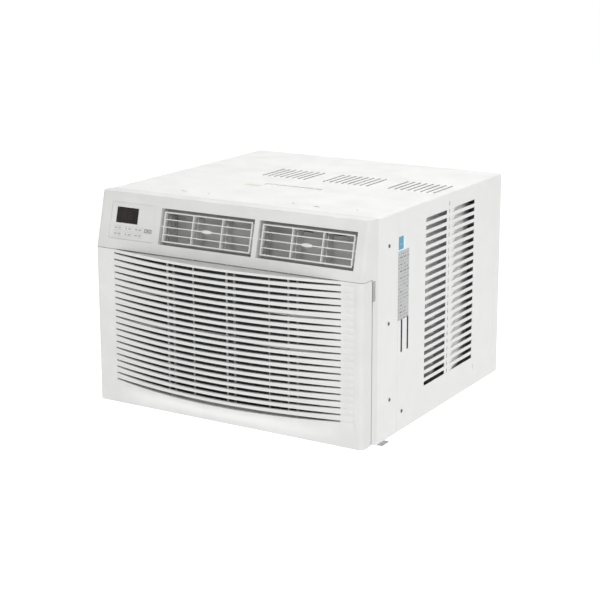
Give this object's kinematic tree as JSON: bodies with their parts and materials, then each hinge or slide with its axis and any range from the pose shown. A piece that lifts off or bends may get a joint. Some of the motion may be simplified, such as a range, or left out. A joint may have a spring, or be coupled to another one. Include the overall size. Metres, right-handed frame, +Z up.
{
  "type": "window air conditioner",
  "caption": "Window air conditioner with a bowed intake grille that tilts down, a sliding filter, tilting louvres, steering vanes, sprung keys and a spinning fan.",
  "frame": {"origin": "on the ground under the middle of the overall box", "axes": "+X to the right seen from the room, +Y to the outdoor end, +Z up"},
  "size_m": [0.66, 0.696, 0.484],
  "materials": {
    "cabinet_paint": "smooth white powder coat",
    "white_plastic": "fine moulded white",
    "display_plastic": "smoked gloss",
    "key_plastic": "printed light grey",
    "zinc_steel": "zinc plated",
    "black_paint": "satin black",
    "rubber": "matt",
    "coil_fins": "thin fins",
    "copper_tube": "drawn tube",
    "grey_foam": "moulded foam",
    "grey_plastic": "moulded",
    "circuit_board": "coated board",
    "filter_mesh": "woven mesh in a moulded frame",
    "motor_steel": "pressed steel",
    "aluminium_can": "drawn can"
  },
  "bodies": {
    "chassis": {"accumulator": "copper_tube", "air_duct": "grey_foam", "base_pan": "cabinet_paint", "blower_housing": "grey_foam", "bulkhead": "zinc_steel", "cabinet_screw_left_1": "zinc_steel", "cabinet_screw_left_2": "zinc_steel", "cabinet_screw_left_3": "zinc_steel", "cabinet_screw_left_4": "zinc_steel", "cabinet_screw_right_1": "zinc_steel", "cabinet_screw_right_2": "zinc_steel", "cabinet_screw_right_3": "zinc_steel", "cabinet_screw_right_4": "zinc_steel", "cabinet_shell": "cabinet_paint", "capillary_tube": "copper_tube", "compressor": "black_paint", "compressor_grommet_1": "rubber", "compressor_grommet_2": "rubber", "compressor_grommet_3": "rubber", "condenser_coil": "coil_fins", "control_board": "circuit_board", "control_box": "zinc_steel", "control_fascia": "white_plastic", "discharge_pipe": "copper_tube", "display_window": "display_plastic", "drip_tray": "grey_foam", "evaporator_coil": "coil_fins", "fan_motor": "motor_steel", "fan_shroud": "grey_plastic", "front_bezel": "white_plastic", "front_bracket_left": "zinc_steel", "front_bracket_right": "zinc_steel", "hinge_pin_left": "zinc_steel", "hinge_pin_right": "zinc_steel", "motor_bracket": "zinc_steel", "rear_foot_left": "rubber", "rear_foot_right": "rubber", "rear_guard": "zinc_steel", "run_capacitor": "aluminium_can", "suction_pipe": "copper_tube"},
    "grille": {"intake_grille": "white_plastic"},
    "filter": {"air_filter": "filter_mesh"},
    "fan_rotor": {"motor_shaft": "motor_steel", "blower_wheel": "grey_plastic", "condenser_fan": "grey_plastic"},
    "louvre_left": {"louvre_frame_left": "white_plastic"},
    "steering_vane_left_1": {"vane_left_1": "white_plastic"},
    "steering_vane_left_2": {"vane_left_2": "white_plastic"},
    "steering_link_left": {"vane_link_left": "white_plastic"},
    "louvre_right": {"louvre_frame_right": "white_plastic"},
    "steering_vane_right_1": {"vane_right_1": "white_plastic"},
    "steering_vane_right_2": {"vane_right_2": "white_plastic"},
    "steering_link_right": {"vane_link_right": "white_plastic"},
    "key_1_cap": {"key_1": "white_plastic"},
    "key_2_cap": {"key_2": "white_plastic"},
    "key_3_cap": {"key_3": "white_plastic"},
    "key_4_cap": {"key_4": "white_plastic"},
    "key_5_cap": {"key_5": "white_plastic"},
    "key_6_cap": {"key_6": "white_plastic"},
    "power_key_cap": {"power_key": "key_plastic"}
  },
  "joints": [
    {"name": "grille_tilt", "type": "hinge", "parent": "chassis", "child": "grille", "pos_m": [0, -0.277, 0.03], "axis": [1, 0, 0], "range_deg": [0, 45]},
    {"name": "filter_slide", "type": "slide", "parent": "chassis", "child": "filter", "axis": [1, 0, 0], "range_m": [0, 0.35]},
    {"name": "louvre_tilt_left", "type": "hinge", "parent": "chassis", "child": "louvre_left", "pos_m": [-0.05125, -0.28407, 0.4212], "axis": [1, 0, 0], "range_deg": [-15, 15]},
    {"name": "vane_swing_left_1", "type": "hinge", "parent": "chassis", "child": "steering_vane_left_1", "pos_m": [-0.08793, -0.25869, 0.41753], "axis": [0, 0.2445, 0.9697], "range_deg": [-25, 25]},
    {"name": "vane_swing_left_2", "type": "hinge", "parent": "chassis", "child": "steering_vane_left_2", "pos_m": [-0.01457, -0.25869, 0.41753], "axis": [0, 0.2445, 0.9697], "range_deg": [-25, 25]},
    {"name": "vane_link_slide_left", "type": "slide", "parent": "chassis", "child": "steering_link_left", "axis": [-1, 0, 0], "range_m": [-0.0042, 0.0042]},
    {"name": "louvre_tilt_right", "type": "hinge", "parent": "chassis", "child": "louvre_right", "pos_m": [0.19025, -0.28407, 0.4212], "axis": [1, 0, 0], "range_deg": [-15, 15]},
    {"name": "vane_swing_right_1", "type": "hinge", "parent": "chassis", "child": "steering_vane_right_1", "pos_m": [0.1544, -0.25869, 0.41753], "axis": [0, 0.2445, 0.9697], "range_deg": [-25, 25]},
    {"name": "vane_swing_right_2", "type": "hinge", "parent": "chassis", "child": "steering_vane_right_2", "pos_m": [0.2261, -0.25869, 0.41753], "axis": [0, 0.2445, 0.9697], "range_deg": [-25, 25]},
    {"name": "vane_link_slide_right", "type": "slide", "parent": "chassis", "child": "steering_link_right", "axis": [-1, 0, 0], "range_m": [-0.0042, 0.0042]},
    {"name": "key_1_press", "type": "slide", "parent": "chassis", "child": "key_1_cap", "axis": [0, 0.9697, -0.2445], "range_m": [0, 0.0008], "stiffness_N_per_m": 900},
    {"name": "key_2_press", "type": "slide", "parent": "chassis", "child": "key_2_cap", "axis": [0, 0.9697, -0.2445], "range_m": [0, 0.0008], "stiffness_N_per_m": 900},
    {"name": "key_3_press", "type": "slide", "parent": "chassis", "child": "key_3_cap", "axis": [0, 0.9697, -0.2445], "range_m": [0, 0.0008], "stiffness_N_per_m": 900},
    {"name": "key_4_press", "type": "slide", "parent": "chassis", "child": "key_4_cap", "axis": [0, 0.9697, -0.2445], "range_m": [0, 0.0008], "stiffness_N_per_m": 900},
    {"name": "key_5_press", "type": "slide", "parent": "chassis", "child": "key_5_cap", "axis": [0, 0.9697, -0.2445], "range_m": [0, 0.0008], "stiffness_N_per_m": 900},
    {"name": "key_6_press", "type": "slide", "parent": "chassis", "child": "key_6_cap", "axis": [0, 0.9697, -0.2445], "range_m": [0, 0.0008], "stiffness_N_per_m": 900},
    {"name": "power_key_press", "type": "slide", "parent": "chassis", "child": "power_key_cap", "axis": [0, 0.9697, -0.2445], "range_m": [0, 0.0008], "stiffness_N_per_m": 900},
    {"name": "fan_spin", "type": "hinge", "parent": "chassis", "child": "fan_rotor", "pos_m": [-0.06, 0.044, 0.226], "axis": [0, 1, 0], "continuous": true}
  ],
  "couplings": [
    {"joint": "vane_swing_left_2", "follows": "vane_swing_left_1", "ratio": 1},
    {"joint": "vane_link_slide_left", "follows": "vane_swing_left_1", "m_per_rad": 0.009},
    {"joint": "vane_swing_right_2", "follows": "vane_swing_right_1", "ratio": 1},
    {"joint": "vane_link_slide_right", "follows": "vane_swing_right_1", "m_per_rad": 0.009}
  ]
}
